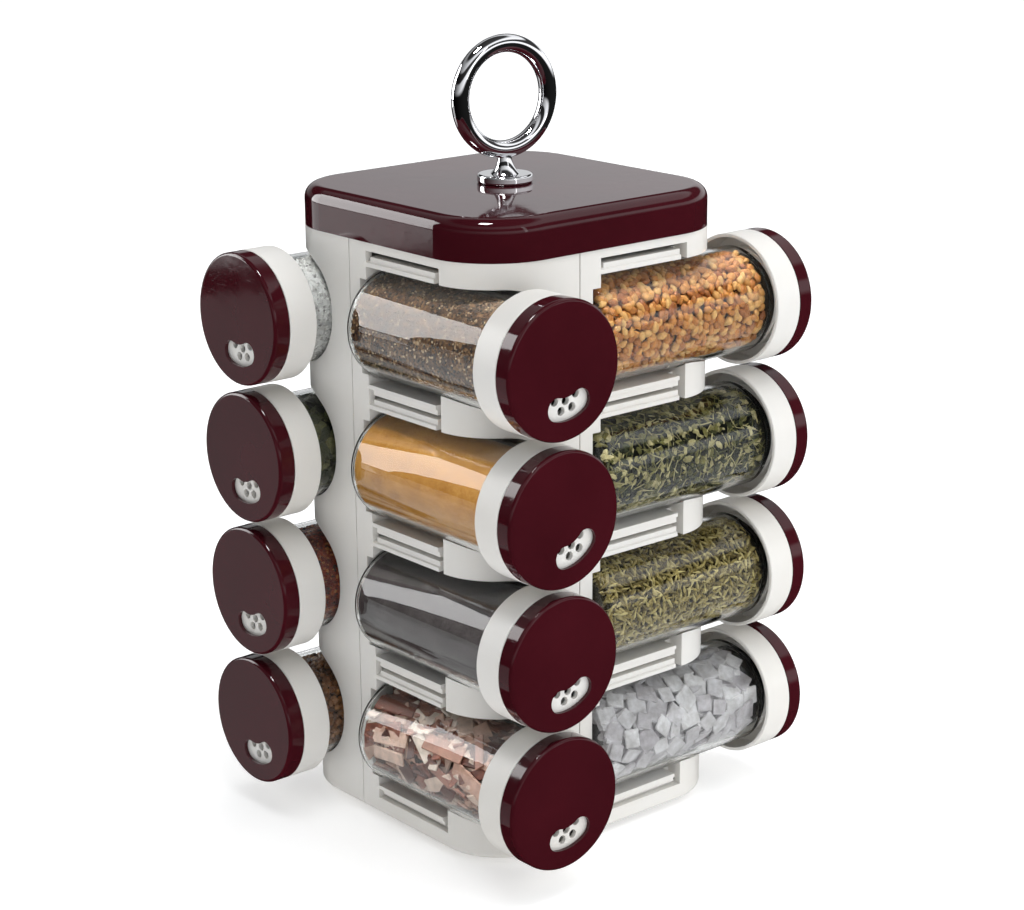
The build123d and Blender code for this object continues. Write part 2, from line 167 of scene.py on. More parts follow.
def cells(tree, vector, scale, feature="F1", output="Distance"):
    """Voronoi cells at a scale in cells per metre."""
    node = add_node(tree, "ShaderNodeTexVoronoi", feature=feature)
    tree.links.new(vector, node.inputs["Vector"])
    node.inputs["Scale"].default_value = scale
    return node.outputs[output]


def ramp(tree, factor, stops, interpolation="LINEAR"):
    """Colour ramp through (position, colour) stops."""
    node = add_node(tree, "ShaderNodeValToRGB")
    node.color_ramp.interpolation = interpolation
    elements = node.color_ramp.elements
    while len(elements) < len(stops):
        elements.new(0.5)
    for element, (position, colour) in zip(elements, stops):
        element.position = position
        element.color = (*colour, 1.0)
    tree.links.new(factor, node.inputs["Fac"])
    return node.outputs["Color"]


def span(tree, factor, low, high, from_low=0.0, from_high=1.0):
    """Map a factor onto a range of numbers."""
    node = add_node(tree, "ShaderNodeMapRange")
    tree.links.new(factor, node.inputs["Value"])
    node.inputs["From Min"].default_value = from_low
    node.inputs["From Max"].default_value = from_high
    node.inputs["To Min"].default_value = low
    node.inputs["To Max"].default_value = high
    return node.outputs["Result"]


def mixed(tree, factor, colour_a, colour_b, blend="MIX"):
    """Mix two colours or colour sockets by a factor or a factor socket."""
    node = add_node(tree, "ShaderNodeMix", data_type="RGBA", blend_type=blend)
    for socket, value in ((node.inputs[0], factor), (node.inputs[6], colour_a), (node.inputs[7], colour_b)):
        if isinstance(value, bpy.types.NodeSocket):
            tree.links.new(value, socket)
        elif isinstance(value, (int, float)):
            socket.default_value = value
        else:
            socket.default_value = (*value, 1.0)
    return node.outputs[2]


def bumped(tree, shader, height, distance, strength=1.0, normal=None):
    """Send a height factor to the shader as a bump of the given depth in metres."""
    node = add_node(tree, "ShaderNodeBump")
    node.inputs["Strength"].default_value = strength
    node.inputs["Distance"].default_value = distance
    tree.links.new(height, node.inputs["Height"])
    if normal is not None:
        tree.links.new(normal, node.inputs["Normal"])
    tree.links.new(node.outputs["Normal"], shader.inputs["Normal"])
    return node.outputs["Normal"]


def tone_attribute(tree):
    """The random value that each copied grain carries."""
    node = add_node(tree, "ShaderNodeAttribute", attribute_name=TONE)
    return node.outputs["Fac"]


# --- finishes of the mouldings and metals -----------------------------------


def white_plastic():
    """Satin white moulding with faint flow marks, fine grain and a touch of handling."""
    material, tree, shader = new_material("white_plastic_finish")
    where = object_coordinates(tree)
    white = tuple(finishes().white)
    broad = noise(tree, where, 14, detail=3)
    warm = tuple(channel * shade for channel, shade in zip(white, (0.975, 0.962, 0.94)))
    body = mixed(tree, span(tree, broad, 0.0, 1.0, 0.35, 0.7), white, warm)
    specks = span(tree, noise(tree, where, 900, detail=2), 0.0, 0.05, 0.72, 0.8)
    dusty = mixed(tree, specks, body, tuple(0.8 * channel for channel in white))
    tree.links.new(dusty, shader.inputs["Base Color"])
    smudge = noise(tree, where, 55, detail=6, roughness=0.65)
    tree.links.new(span(tree, smudge, 0.26, 0.44), shader.inputs["Roughness"])
    shader.inputs["Specular IOR Level"].default_value = 0.3
    shader.inputs["Subsurface Weight"].default_value = 0.08
    shader.inputs["Subsurface Radius"].default_value = (0.004, 0.0035, 0.003)
    shader.inputs["Subsurface Scale"].default_value = 1.0
    peel = bumped(tree, shader, noise(tree, where, 420, detail=3), 0.00006, 0.35)
    bumped(tree, shader, noise(tree, where, 2600, detail=2), 0.000015, 0.5, peel)
    return material


def maroon_plastic():
    """Polished dark maroon moulding with hairline scuffs and a little orange peel."""
    material, tree, shader = new_material("maroon_plastic_finish")
    where = object_coordinates(tree)
    maroon = tuple(finishes().maroon)
    deep = tuple(0.72 * channel for channel in maroon)
    cloud = noise(tree, where, 22, detail=4)
    body = mixed(tree, span(tree, cloud, 0, 1, 0.3, 0.7), maroon, deep)
    tree.links.new(body, shader.inputs["Base Color"])
    stretch = add_node(tree, "ShaderNodeMapping")
    stretch.inputs["Scale"].default_value = (1.0, 7.0, 7.0)
    stretch.inputs["Rotation"].default_value = (0.4, 0.2, 0.9)
    tree.links.new(where, stretch.inputs["Vector"])
    hairlines = span(tree, noise(tree, stretch.outputs["Vector"], 260, detail=5), 0.0, 1.0, 0.62, 0.72)
    smudge = span(tree, noise(tree, where, 38, detail=6, roughness=0.7), 0.0, 1.0, 0.42, 0.75)
    wear = mixed(tree, 0.35, hairlines, smudge)
    gloss = finishes().gloss
    tree.links.new(span(tree, wear, gloss, gloss + 0.16), shader.inputs["Roughness"])
    shader.inputs["IOR"].default_value = 1.36
    peel = bumped(tree, shader, noise(tree, where, 120, detail=2), 0.00008, 0.3)
    bumped(tree, shader, hairlines, 0.000004, 0.4, peel)
    return material


def clear_jar():
    """Clear glass that lets lamp light through to the spice, with faint smears."""
    material, tree, shader = new_material("clear_jar_finish")
    where = object_coordinates(tree)
    shader.inputs["Base Color"].default_value = (*finishes().glass, 1.0)
    shader.inputs["Transmission Weight"].default_value = 1.0
    shader.inputs["IOR"].default_value = 1.36
    smear = noise(tree, where, 70, detail=5, roughness=0.6)
    tree.links.new(span(tree, smear, 0.0, 0.02, 0.45, 0.75), shader.inputs["Roughness"])
    bumped(tree, shader, noise(tree, where, 45, detail=2), 0.0001, 0.2)
    lamp_ray = add_node(tree, "ShaderNodeLightPath").outputs["Is Shadow Ray"]
    open_way = add_node(tree, "ShaderNodeBsdfTransparent")
    open_way.inputs["Color"].default_value = (0.98, 0.99, 0.985, 1.0)
    choice = add_node(tree, "ShaderNodeMixShader")
    tree.links.new(lamp_ray, choice.inputs["Fac"])
    tree.links.new(shader.outputs["BSDF"], choice.inputs[1])
    tree.links.new(open_way.outputs["BSDF"], choice.inputs[2])
    tree.links.new(choice.outputs["Shader"], tree.nodes["Material Output"].inputs["Surface"])
    return material


def chrome_plate():
    """Mirror chrome with a slight polish ripple and faint finger haze."""
    material, tree, shader = new_material("chrome_plate_finish")
    where = object_coordinates(tree)
    shader.inputs["Base Color"].default_value = (*finishes().chrome, 1.0)
    shader.inputs["Metallic"].default_value = 1.0
    haze = noise(tree, where, 90, detail=6, roughness=0.7)
    tree.links.new(span(tree, haze, 0.01, 0.09, 0.5, 0.8), shader.inputs["Roughness"])
    bumped(tree, shader, noise(tree, where, 160, detail=2), 0.00006, 0.3)
    return material


def zinc_steel():
    """Plain plated steel for the hidden fastenings and balls."""
    material, tree, shader = new_material("steel_finish")
    where = object_coordinates(tree)
    shade = noise(tree, where, 120, detail=5)
    tree.links.new(ramp(tree, shade, [(0.3, (0.42, 0.42, 0.43)), (0.7, (0.62, 0.62, 0.61))]),
                   shader.inputs["Base Color"])
    shader.inputs["Metallic"].default_value = 1.0
    tree.links.new(span(tree, shade, 0.22, 0.42), shader.inputs["Roughness"])
    bumped(tree, shader, noise(tree, where, 1500, detail=2), 0.00002, 0.5)
    return material


def rubber_pad():
    """Soft matt rubber with a fine pebble grain."""
    material, tree, shader = new_material("rubber_finish")
    where = object_coordinates(tree)
    dust = noise(tree, where, 300, detail=5)
    tree.links.new(ramp(tree, dust, [(0.35, (0.012, 0.012, 0.013)), (0.8, (0.045, 0.043, 0.04))]),
                   shader.inputs["Base Color"])
    shader.inputs["Roughness"].default_value = 0.82
    bumped(tree, shader, cells(tree, where, 1600), 0.00008, 0.6)
    return material


def dress(node_names, material):
    """Put a material on carried-over CAD nodes."""
    for name in node_names:
        mesh = frame["nodes"][name].data
        if not mesh.materials:
            mesh.materials.append(material)
        for index in range(len(mesh.materials)):
            mesh.materials[index] = material


def nodes_with_slot(slot):
    """Names of the CAD nodes that use one of the record's material slots."""
    return [part["node"] for part in frame["record"]["subparts"] if part["material_slot"] == slot]


# --- finishes of the spices --------------------------------------------------


def srgb(red, green, blue):
    """Linear colour from 0 to 255 screen values."""
    return tuple(((value / 255 + 0.055) / 1.055) ** 2.4 for value in (red, green, blue))


def powder_finish(name, colours, grain_scale, depth, roughness=0.92):
    """Fine powder: cells of mixed tones, caked patches and a crumbly bump."""
    material, tree, shader = new_material(name)
    where = object_coordinates(tree)
    stops = [(0.15 + 0.7 * index / (len(colours) - 1), colour) for index, colour in enumerate(colours)]
    speckle = cells(tree, where, grain_scale, output="Color")
    caked = noise(tree, where, 130, detail=5, roughness=0.6)
    blend = mixed(tree, 0.55, speckle, caked)
    tree.links.new(ramp(tree, blend, stops), shader.inputs["Base Color"])
    shader.inputs["Roughness"].default_value = roughness
    shader.inputs["Specular IOR Level"].default_value = 0.2
    crumbs = bumped(tree, shader, cells(tree, where, grain_scale), depth, 0.7)
    bumped(tree, shader, noise(tree, where, grain_scale * 0.3, detail=5), depth * 3, 0.5, crumbs)
    return material


def grain_finish(name, colours, mottle_scale, depth, roughness=0.6, shine=0.35, split=False):
    """Seeds, leaves and chips: one tone for each copy, mottled, with a wrinkled bump."""
    material, tree, shader = new_material(name)
    where = object_coordinates(tree)
    stops = [(index / (len(colours) - (0 if split else 1)), colour) for index, colour in enumerate(colours)]
    body = ramp(tree, tone_attribute(tree), stops, "CONSTANT" if split else "LINEAR")
    mottle = noise(tree, where, mottle_scale, detail=5, roughness=0.6)
    shade = ramp(tree, mottle, [(0.3, (0.52, 0.5, 0.48)), (0.68, (1.0, 1.0, 1.0))])
    tree.links.new(mixed(tree, 0.8, body, shade, "MULTIPLY"), shader.inputs["Base Color"])
    tree.links.new(span(tree, mottle, roughness - 0.12, roughness + 0.15), shader.inputs["Roughness"])
    shader.inputs["Specular IOR Level"].default_value = shine
    bumped(tree, shader, noise(tree, where, mottle_scale * 2.5, detail=4), depth, 0.7)
    return material


# --- modelling helpers -------------------------------------------------------


def clear_selection():
    """Leave edit mode and deselect everything."""
    if bpy.context.mode != "OBJECT":
        bpy.ops.object.mode_set(mode="OBJECT")
    bpy.ops.object.select_all(action="DESELECT")


def pick(piece, kind, test):
    """In edit mode, select only the vertices, edges or faces whose corners all pass the test."""
    bpy.ops.object.mode_set(mode="EDIT")
    bpy.ops.mesh.select_mode(type=kind)
    bpy.ops.mesh.select_all(action="DESELECT")
    mesh = bmesh.from_edit_mesh(piece.data)
    parts = {"VERT": mesh.verts, "EDGE": mesh.edges, "FACE": mesh.faces}[kind]
    for part in parts:
        corners = [part.co] if kind == "VERT" else [vertex.co for vertex in part.verts]
        part.select_set(test(corners))
    bmesh.update_edit_mesh(piece.data)


def apply_modifier(piece, kind, **values):
    """Add a modifier, set it and apply it."""
    clear_selection()
    piece.select_set(True)
    bpy.context.view_layer.objects.active = piece
    modifier = piece.modifiers.new(kind.title(), kind)
    for key, value in values.items():
        setattr(modifier, key, value)
    bpy.ops.object.modifier_apply(modifier=modifier.name)


def joined(pieces, name):
    """Join pieces into one object of the given name."""
    clear_selection()
    for piece in pieces:
        piece.select_set(True)
    bpy.context.view_layer.objects.active = pieces[0]
    if len(pieces) > 1:
        bpy.ops.object.join()
    whole = bpy.context.view_layer.objects.active
    whole.name = name
    whole.data.name = name
    return whole


def jar_matrix(face, row):
    """Jar frame to row frame: +Z along the jar from its closed end, +X out of the tower."""
    low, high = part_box(f"jar_{face}_{row}")
    centre = (low + high) / 2
    turn = Matrix.Rotation(math.radians(90 * FACES.index(face)), 3, "Z")
    along = turn @ Vector((1, 0, 0))
    out = turn @ Vector((0, -1, 0))
    length = abs((high - low).dot(along))
    start = centre - along * length / 2
    axes = Matrix((out, along.cross(out), along)).transposed().to_4x4()
    return Matrix.Translation(start) @ axes


def put_in_jar(piece, face, row):
    """Place a finished filling in its jar and let it ride with the jar."""
    piece.data.transform(jar_matrix(face, row))
    piece.matrix_world = Matrix.Identity(4)
    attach(piece, f"{face}_jar_{row}")


# --- fillings ----------------------------------------------------------------


def model_fill(material, radius, sides, rings, lumps, start=FILL_START, end=FILL_END):
    """Rounded cylinder of spice, along +Z, with its surface crumbled by the lump depth."""
    clear_selection()
    middle = (start + end) / 2
    bpy.ops.mesh.primitive_cylinder_add(
        vertices=sides, radius=radius, depth=end - start, location=(0, 0, middle))
    fill = bpy.context.object
    bpy.ops.object.transform_apply(location=True, rotation=False, scale=False)
    pick(fill, "FACE", lambda corners: all(corner.z < middle for corner in corners))
    bpy.ops.mesh.bevel(offset=INNER_BASE_FILLET, segments=6, affect="EDGES")
    straight = start + INNER_BASE_FILLET * 0.9
    pick(fill, "EDGE", lambda ends: min(end.z for end in ends) >= straight
         and abs(ends[0].z - ends[1].z) > INNER_BASE_FILLET)
    bpy.ops.mesh.subdivide(number_cuts=rings)
    bpy.ops.object.mode_set(mode="OBJECT")
    pattern = bpy.data.textures.new("crumble", "CLOUDS")
    pattern.noise_scale = 2.4 * MM
    pattern.noise_depth = 3
    apply_modifier(fill, "DISPLACE", texture=pattern, texture_coords="LOCAL", strength=lumps, mid_level=1.0)
    bpy.ops.object.shade_smooth()
    fill.data.materials.append(material)
    return fill


def model_plug(material):
    """Spice that fills the neck up to the sieve."""
    return model_fill(material, NECK_RADIUS, PLUG_SIDES, PLUG_RINGS, 0.4 * MM, PLUG_START, PLUG_END)


def model_seed(length, width, thickness, taper, segments, rings):
    """Plump seed lying along Y, narrowed towards one end."""
    clear_selection()
    bpy.ops.mesh.primitive_uv_sphere_add(segments=segments, ring_count=rings, radius=0.5)
    seed = bpy.context.object
    bpy.ops.object.mode_set(mode="EDIT")
    bpy.ops.mesh.select_all(action="SELECT")
    bpy.ops.transform.rotate(value=math.radians(90), orient_axis="X", center_override=(0, 0, 0))
    bpy.ops.transform.resize(value=(width, length, thickness), center_override=(0, 0, 0))
    pick(seed, "VERT", lambda corners: corners[0].y > 0.12 * length)
    bpy.ops.transform.resize(value=(taper, 1, taper), center_override=(0, 0, 0))
    bpy.ops.object.mode_set(mode="OBJECT")
    bpy.ops.object.shade_smooth()
    return seed


def model_chip(length, width, thickness, seed):
    """Flat chip with worn and uneven edges, lying along Y."""
    clear_selection()
    bpy.ops.mesh.primitive_cube_add(size=1)
    chip = bpy.context.object
    bpy.ops.object.mode_set(mode="EDIT")
    bpy.ops.mesh.select_all(action="SELECT")
    bpy.ops.transform.resize(value=(width, length, thickness), center_override=(0, 0, 0))
    bpy.ops.mesh.bevel(offset=CHIP_EDGE * thickness, segments=1, affect="EDGES")
    bpy.ops.mesh.select_all(action="SELECT")
    bpy.ops.transform.vertex_random(offset=CHIP_JITTER * thickness, seed=seed)
    bpy.ops.object.mode_set(mode="OBJECT")
    return chip


def model_crumb(size, jitter, seed):
    """Jagged crumb, broken from a rounded grain."""
    clear_selection()
    bpy.ops.mesh.primitive_ico_sphere_add(subdivisions=1, radius=size / 2)
    crumb = bpy.context.object
    bpy.ops.object.mode_set(mode="EDIT")
    bpy.ops.mesh.select_all(action="SELECT")
    bpy.ops.transform.vertex_random(offset=jitter, seed=seed)
    bpy.ops.transform.resize(value=(1, 1.25, 0.7), center_override=(0, 0, 0))
    bpy.ops.object.mode_set(mode="OBJECT")
    return crumb


def model_leaf(length, width):
    """Curled leaf flake lying along Y, with its middle rib raised."""
    clear_selection()
    bpy.ops.mesh.primitive_grid_add(x_subdivisions=2, y_subdivisions=4, size=1)
    leaf = bpy.context.object
    bpy.ops.object.mode_set(mode="EDIT")
    bpy.ops.mesh.select_all(action="SELECT")
    bpy.ops.transform.resize(value=(width, length, 1), center_override=(0, 0, 0))
    pick(leaf, "VERT", lambda corners: abs(corners[0].y) > 0.4 * length)
    bpy.ops.transform.resize(value=(0.25, 1, 1), center_override=(0, 0, 0))
    bpy.ops.transform.translate(value=(0, 0, -LEAF_CURL))
    pick(leaf, "VERT", lambda corners: abs(corners[0].x) < 0.1 * width)
    bpy.ops.transform.translate(value=(0, 0, LEAF_CURL))
    bpy.ops.object.mode_set(mode="OBJECT")
    apply_modifier(leaf, "SOLIDIFY", thickness=LEAF_THICKNESS)
    return leaf


def model_twig(length, radius):
    """Bent six-sided twig lying along Y."""
    clear_selection()
    bpy.ops.mesh.primitive_cylinder_add(
        vertices=6, radius=radius, depth=length / 2, rotation=(math.radians(90), 0, 0))
    twig = bpy.context.object
    bpy.ops.object.transform_apply(location=False, rotation=True, scale=False)
    pick(twig, "FACE", lambda corners: all(corner.y > 0 for corner in corners))
    bpy.ops.mesh.extrude_region_move(
        TRANSFORM_OT_translate={"value": (length * 0.08, length / 2, length * 0.03)})
    bpy.ops.transform.resize(value=(0.6, 1, 0.6))
    bpy.ops.object.mode_set(mode="OBJECT")
    return twig


def turn_matrices(draw, count, tilt):
    """Rotation matrices: any turn round the outward normal, then tilts up to the given angle."""
    spin = draw.uniform(0, 2 * math.pi, count)
    lean_x = draw.normal(0, tilt, count)
    lean_y = draw.normal(0, tilt, count)
    matrices = np.zeros((count, 3, 3))
    for index in range(count):
        turn = (Matrix.Rotation(lean_x[index], 3, "X") @ Matrix.Rotation(lean_y[index], 3, "Y")
                @ Matrix.Rotation(spin[index], 3, "Z"))
        matrices[index] = np.array(turn)
    return matrices


def spread_places(count, draw, wander):
    """Heights and angles of at least that many places, spread evenly over the inside of the glass."""
    length = FILL_END - FILL_START
    rows = max(1, round(math.sqrt(count * length / (2 * math.pi * FILL_RADIUS))))
    columns = math.ceil(count / rows)
    count = rows * columns
    row, column = np.divmod(np.arange(count), columns)
    height = FILL_START + length * (row + 0.5 + wander * draw.uniform(-0.5, 0.5, count)) / rows
    angle = 2 * math.pi * (column + wander * draw.uniform(-0.5, 0.5, count) + 0.5 * (row % 2)) / columns
    return height, angle


def keep_inside(place, outward, reach):
    """Move every copy to its reach from the axis, and clear of both ends and of the rounded end."""
    over = np.hypot(place[..., 0], place[..., 1]).max(1) - reach
    place -= (outward * over[:, None])[:, None]
    low = place[..., 2].min(1)
    high = place[..., 2].max(1)
    shift = np.maximum(FILL_START - low, 0) - np.maximum(high - FILL_END, 0)
    place[..., 2] += shift[:, None]
    far = np.hypot(place[..., 0], place[..., 1])
    allowed = filling_radius(place[..., 2])
    pull = np.minimum(1, allowed / np.maximum(far, NEARLY_ZERO))
    place[..., :2] *= pull[..., None]


def scatter(template, material, count, draw, depth, tilt, smooth=True, sizes=(0.8, 1.2), wander=1.0):
    """Copies of a template laid at some depth under the glass and joined in one mesh."""
    shape = np.array([vertex.co for vertex in template.data.vertices])
    faces = [tuple(polygon.vertices) for polygon in template.data.polygons]
    bpy.data.objects.remove(template)
    height, angle = spread_places(count, draw, wander)
    count = len(height)
    scale = draw.uniform(*sizes, count)
    local = np.einsum("nij,vj->nvi", turn_matrices(draw, count, tilt), shape) * scale[:, None, None]
    outward = np.stack([np.cos(angle), np.sin(angle), np.zeros(count)], 1)
    sideways = np.stack([-np.sin(angle), np.cos(angle), np.zeros(count)], 1)
    upward = np.array([0.0, 0.0, 1.0])
    reach = FILL_RADIUS - draw.uniform(*depth, count)
    place = (local[:, :, 2:] * outward[:, None] + local[:, :, :1] * sideways[:, None]
             + local[:, :, 1:2] * upward + (outward * reach[:, None] + upward * height[:, None])[:, None])
    keep_inside(place, outward, reach)
    return copies_mesh(place, faces, material, draw, smooth)


def filling_radius(height):
    """Largest radius at a height that stays inside the rounded closed end."""
    rounding = INNER_BASE_FILLET + FILL_GAP
    drop = np.clip(FILL_START + rounding - height, 0, rounding)
    return FILL_RADIUS - rounding + np.sqrt(rounding ** 2 - drop ** 2)


def copies_mesh(place, faces, material, draw, smooth):
    """One mesh object from the placed vertices of every copy, each with its own tone."""
    count, size = place.shape[:2]
    polygons = [tuple(corner + index * size for corner in face) for index in range(count) for face in faces]
    mesh = bpy.data.meshes.new("grains")
    mesh.from_pydata(place.reshape(-1, 3).tolist(), [], polygons)
    mesh.materials.append(material)
    tone = mesh.attributes.new(TONE, "FLOAT", "POINT")
    tone.data.foreach_set("value", np.repeat(draw.uniform(0, 1, count), size).astype(np.float32))
    mesh.polygons.foreach_set("use_smooth", [smooth] * len(polygons))
    grains = bpy.data.objects.new("grains", mesh)
    bpy.context.scene.collection.objects.link(grains)
    return grains


# --- spice recipes -----------------------------------------------------------

CORE_SIDES = 96
CORE_RINGS = 60
POWDER_SIDES = 160
POWDER_RINGS = 100
PLUG_SIDES = 48
PLUG_RINGS = 12
# Painted shade: share of light left in the colour of the imported spice behind the outer layer, and of the
# spice in the dark neck.
CORE_SHADE = 0.16
NECK_SHADE = 0.03
# Sizes of the three lots of crumbs in a jar, and how jagged they are, as shares of the recipe's size.
CRUMB_GRADES = (0.7, 1.0, 1.25)
CRUMB_JITTER = 0.22
CRUMBS_OF_A_GRADE = 1700
LEAF_CURL = 0.5 * MM
LEAF_THICKNESS = 0.18 * MM
STALK_LENGTH = 8.0 * MM
STALK_RADIUS = 0.22 * MM
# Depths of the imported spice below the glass, and the wear and layers of chips, in thicknesses of a piece.
SEED_BED = 1.3
CHIP_BED = 3.2
CHIP_EDGE = 0.3
CHIP_JITTER = 0.25
CHIP_LAYER_STEP = 0.8
CHIP_SPREAD = 0.4
CHIP_LAYERS = 3
# Segments and rings of the outer and the inner seeds; a jar of many small seeds has simpler ones.
SEED_GRIDS = ((8, 6), (6, 5))
FINE_SEED_GRIDS = ((6, 5), (5, 4))
FINE_SEED_COUNT = 1200

# Powders: name, cells per metre, depth of the crumbs, screen colours.
POWDERS = {
    ("front", 2): ("golden_masala", 5200, 0.00006, ((116, 70, 18), (178, 122, 46), (212, 168, 96))),
    ("front", 3): ("ground_sumac", 3600, 0.0001, ((24, 20, 20), (60, 53, 53), (94, 86, 86))),
    ("back", 1): ("paprika", 5200, 0.00006, ((96, 20, 8), (150, 42, 16), (176, 62, 26))),
}

# Grinds: name, crumb size in millimetres, screen colours.
GRINDS = {
    ("front", 1): ("cracked_pepper", 1.0,
                   ((12, 9, 7), (38, 26, 17), (80, 54, 33), (128, 96, 62), (196, 172, 138))),
    ("left", 1): ("coarse_salt", 1.5, ((168, 166, 164), (206, 205, 203), (232, 231, 229))),
    ("left", 3): ("chilli_flakes", 1.9, ((48, 12, 8), (98, 26, 14), (134, 50, 22), (176, 112, 58))),
}

# Seeds: name, size in millimetres, taper, number, screen colours.
SEEDS = {
    ("right", 1): ("wheat_seeds", (4.5, 3.2, 2.7), 0.72, 1100,
                   ((158, 86, 28), (214, 142, 62), (240, 190, 116))),
    ("right", 3): ("cumin", (4.8, 1.4, 1.2), 0.5, 2450, ((78, 64, 28), (164, 146, 80), (218, 202, 138))),
    ("left", 4): ("coriander", (3.4, 3.2, 3.1), 0.9, 1300, ((84, 46, 18), (134, 82, 38), (170, 114, 60))),
    ("back", 2): ("mustard_seeds", (2.5, 2.4, 2.3), 0.95, 2100,
                  ((126, 84, 18), (176, 128, 40), (204, 160, 74))),
    ("back", 4): ("black_pepper", (4.6, 4.5, 4.4), 0.92, 760, ((14, 11, 10), (34, 27, 22), (58, 46, 38))),
}

# Leaves: name, size in millimetres, number of leaves and of stalks, screen colours.
LEAVES = {
    ("right", 2): ("dried_herbs", (3.8, 2.1), 1100, 1100,
                   ((18, 22, 12), (56, 62, 30), (140, 134, 74), (224, 212, 160))),
    ("left", 2): ("curry_leaves", (9.0, 4.6), 620, 60, ((34, 36, 18), (72, 76, 38), (112, 110, 66))),
    ("back", 3): ("oregano", (3.4, 1.9), 1700, 200, ((44, 50, 26), (84, 92, 48), (120, 124, 74))),
}

# Chunks: name, size in millimetres, number in a layer, wander, screen colours.
CHUNKS = {
    ("front", 4): ("sliced_roots", (22.0, 6.2, 1.2), 120, 1.0,
                   ((72, 30, 18), (140, 78, 58), (212, 172, 152), (240, 224, 210))),
    ("right", 4): ("garlic_flakes", (9.8, 9.2, 1.8), 150, 0.25,
                   ((198, 193, 198), (220, 217, 221), (240, 238, 240))),
}


def fill_name(face, row, spice):
    """Name of a filling piece."""
    return f"{spice}_{face}_{row}"


def painted_shade_colours(colours, shade):
    """Painted shade: tones of spice that lies in shadow, the darker end of its own colours dimmed by the
    shade share.
    """
    return [tuple(shade * channel for channel in srgb(*colour)) for colour in colours[:2]]


def linear_colours(colours):
    """Recipe colours as linear values."""
    return [srgb(*colour) for colour in colours]


def draw_for(face, row):
    """Random numbers of one jar, always the same."""
    return np.random.default_rng(100 * FACES.index(face) + row)


def finish_filling(parts, colours, spice, face, row):
    """Add the spice in the neck, painted nearly black as the shade under the sieve, join the parts and put
    them in their jar.
    """
    # Painted shade: the neck spice takes its darkest colours dimmed almost to black.
    painted_shade_plug_look = powder_finish(spice + "_neck", painted_shade_colours(colours, NECK_SHADE), 600, 0.0003)
    parts.append(model_plug(painted_shade_plug_look))
    put_in_jar(joined(parts, fill_name(face, row, spice)), face, row)


def build_powder(face, row):
    """Fine powder pressed against the glass."""
    spice, grain_scale, depth, colours = POWDERS[face, row]
    powder_look = powder_finish(spice, linear_colours(colours), grain_scale, depth)
    powder = model_fill(powder_look, FILL_RADIUS, POWDER_SIDES, POWDER_RINGS, 0.22 * MM)
    finish_filling([powder], colours, spice, face, row)


def build_grind(face, row):
    """Crumbs over a crumbly core."""
    spice, size, colours = GRINDS[face, row]
    size = size * MM
    draw = draw_for(face, row)
    tones = linear_colours(colours)
    core_look = powder_finish(spice + "_core", tones, 0.9 / size, 0.0003, 0.8)
    grain_look = grain_finish(spice, tones, 900, 0.0001, split=True)
    parts = [model_fill(core_look, FILL_RADIUS - 0.3 * MM, CORE_SIDES, CORE_RINGS, 0.7 * MM)]
    for index, grade in enumerate(CRUMB_GRADES):
        crumb = model_crumb(size * grade, CRUMB_JITTER * size, seed=index + 1)
        parts.append(scatter(crumb, grain_look, CRUMBS_OF_A_GRADE, draw, (0, 0.5 * MM),
                             tilt=0.9, smooth=False, sizes=(0.6, 1.25)))
    finish_filling(parts, colours, spice, face, row)


def build_seeds(face, row):
    """Two layers of seeds over a core painted dark as the shade between them."""
    spice, size, taper, count, colours = SEEDS[face, row]
    draw = draw_for(face, row)
    length, width, thickness = (edge * MM for edge in size)
    seed_look = grain_finish(spice, linear_colours(colours), 420, 0.00015, roughness=0.5)
    # Painted shade: the core behind the seeds is painted dark.
    core_look = powder_finish(spice + "_core", painted_shade_colours(colours, CORE_SHADE), 500, 0.0003)
    core = model_fill(core_look, FILL_RADIUS - SEED_BED * thickness, CORE_SIDES, CORE_RINGS // 2, 0.5 * MM)
    outer_grid, inner_grid = FINE_SEED_GRIDS if count > FINE_SEED_COUNT else SEED_GRIDS
    outer_seed = model_seed(length, width, thickness, taper, *outer_grid)
    outer = scatter(outer_seed, seed_look, count, draw, (0, 0.3 * thickness), tilt=0.16, wander=0.7)
    inner_seed = model_seed(length, width, thickness, taper, *inner_grid)
    inner = scatter(inner_seed, seed_look, count * 3 // 4, draw, (0.8 * thickness, 1.1 * thickness),
                    tilt=0.4)
    finish_filling([core, outer, inner], colours, spice, face, row)


def build_leaves(face, row):
    """Flakes of leaf and bits of stalk over a core painted dark as the shade between them."""
    spice, size, count, stalks, colours = LEAVES[face, row]
    draw = draw_for(face, row)
    length, width = (edge * MM for edge in size)
    leaf_look = grain_finish(spice, linear_colours(colours), 520, 0.0002, roughness=0.75, shine=0.25)
    stalk_look = grain_finish(spice + "_stalks", linear_colours(colours[1:]), 300, 0.0001, roughness=0.7)
    # Painted shade: the core behind the leaves is painted dark.
    core_look = powder_finish(spice + "_core", painted_shade_colours(colours, CORE_SHADE), 420, 0.0006)
    core = model_fill(core_look, FILL_RADIUS - 1.3 * MM, CORE_SIDES, CORE_RINGS, 1.2 * MM)
    outer = scatter(model_leaf(length, width), leaf_look, count, draw, (0, 0.8 * MM),
                    tilt=0.35, smooth=False, sizes=(0.5, 1.25))
    inner = scatter(model_leaf(length, width), leaf_look, count // 2, draw, (0.6 * MM, 1.6 * MM),
                    tilt=0.6, smooth=False, sizes=(0.6, 1.2))
    twigs = scatter(model_twig(STALK_LENGTH, STALK_RADIUS), stalk_look, stalks, draw, (0, 0.4 * MM),
                    tilt=0.1, sizes=(0.5, 1.3))
    finish_filling([core, outer, inner, twigs], colours, spice, face, row)


